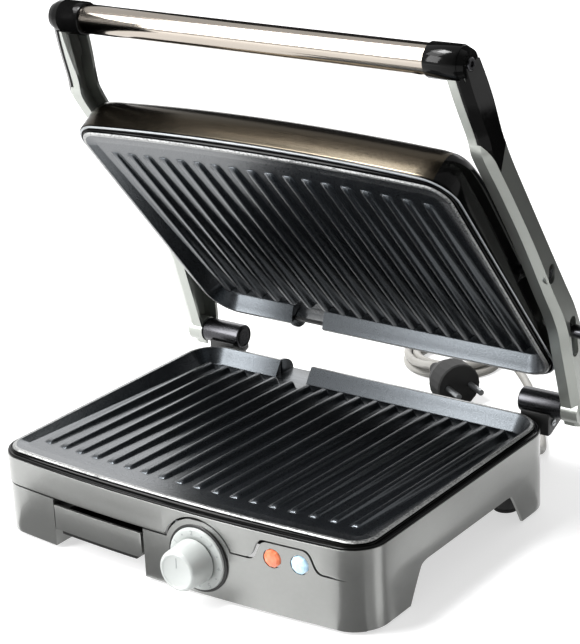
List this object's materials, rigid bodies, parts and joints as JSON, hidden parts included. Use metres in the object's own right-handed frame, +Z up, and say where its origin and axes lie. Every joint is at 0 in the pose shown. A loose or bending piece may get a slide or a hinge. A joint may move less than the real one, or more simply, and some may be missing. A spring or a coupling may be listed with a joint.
{
  "type": "electric contact grill",
  "caption": "Countertop electric contact grill with ribbed non-stick plates, a floating steel-topped lid on channel arms, a round handle, a dial, lamps, a drip tray and a coiled cord",
  "frame": {"origin": "under the middle of the grill without its cord, on the surface that it stands on", "axes": "+X to the right of someone at the dial, +Y to the hinge at the rear, +Z up"},
  "size_m": [0.3586, 0.4956, 0.3506],
  "materials": {
    "housing_metal": "satin",
    "arm_metal": "satin",
    "black_gloss": "gloss",
    "black_satin": "satin",
    "non_stick": "satin",
    "cover_steel": "brushed",
    "handle_steel": "polished",
    "knob_silver": "satin",
    "inner_steel": "satin",
    "foot_rubber": "matte",
    "lamp_red": "gloss",
    "lamp_blue": "gloss",
    "cord_rubber": "satin",
    "pin_metal": "polished"
  },
  "bodies": {
    "base": {"base_housing": "housing_metal", "bottom_cover": "black_satin", "cord_coil": "cord_rubber", "dial_ring": "knob_silver", "front_fascia": "housing_metal", "hinge_barrel_left": "housing_metal", "hinge_barrel_right": "housing_metal", "hinge_bracket_left": "black_satin", "hinge_bracket_right": "black_satin", "leg_cover": "housing_metal", "lower_bezel": "black_satin", "lower_heater": "inner_steel", "lower_plate": "non_stick", "lower_reflector": "inner_steel", "plug_body": "cord_rubber", "plug_pin_a": "pin_metal", "plug_pin_b": "pin_metal", "plug_tail": "cord_rubber", "power_cord": "cord_rubber", "power_lamp": "lamp_red", "ready_lamp": "lamp_blue", "rubber_foot_front_left": "foot_rubber", "rubber_foot_front_right": "foot_rubber", "rubber_foot_rear_left": "foot_rubber", "rubber_foot_rear_right": "foot_rubber", "strain_relief": "cord_rubber", "thermostat": "inner_steel", "thermostat_shaft": "inner_steel", "tray_rail_left": "inner_steel", "tray_rail_right": "inner_steel"},
    "arms": {"arm_inlay_left": "black_gloss", "arm_inlay_right": "black_gloss", "arm_left": "arm_metal", "arm_right": "arm_metal", "handle_collar_left": "black_gloss", "handle_collar_right": "black_gloss", "handle_screw_left": "inner_steel", "handle_screw_right": "inner_steel", "handle_tube": "handle_steel", "hinge_pin_left": "inner_steel", "hinge_pin_right": "inner_steel"},
    "lid": {"lid_cap_left": "black_gloss", "lid_cap_right": "black_gloss", "lid_cover": "cover_steel", "lid_frame": "inner_steel", "lid_pivot_pin_left": "inner_steel", "lid_pivot_pin_right": "inner_steel", "upper_bezel": "black_satin", "upper_heater": "inner_steel", "upper_plate": "non_stick", "upper_reflector": "inner_steel"},
    "knob": {"control_knob": "knob_silver"},
    "tray": {"drip_tray": "housing_metal"},
    "lock": {"lid_lock_knob": "black_gloss"}
  },
  "joints": [
    {"name": "arms_hinge", "type": "hinge", "parent": "base", "child": "arms", "pos_m": [-0.0087, 0.12774, 0.0668], "axis": [1, 0, 0], "range_deg": [-40, 58.4]},
    {"name": "lid_tilt", "type": "hinge", "parent": "arms", "child": "lid", "pos_m": [-0.0087, 0.08084, 0.1814], "axis": [1, 0, 0], "range_deg": [-7.7, 5.3]},
    {"name": "dial_turn", "type": "hinge", "parent": "base", "child": "knob", "pos_m": [0.0195, -0.13026, 0.0275], "axis": [0, -1, 0], "range_deg": [-135, 135]},
    {"name": "tray_slide", "type": "slide", "parent": "base", "child": "tray", "axis": [0, -1, 0], "range_m": [0, 0.21]},
    {"name": "lock_slide", "type": "slide", "parent": "arms", "child": "lock", "axis": [0, -0.1874, 0.9823], "range_m": [-0.012, 0.006]}
  ],
  "couplings": [
    {"joint": "lid_tilt", "follows": "arms_hinge", "ratio": -0.1312}
  ]
}
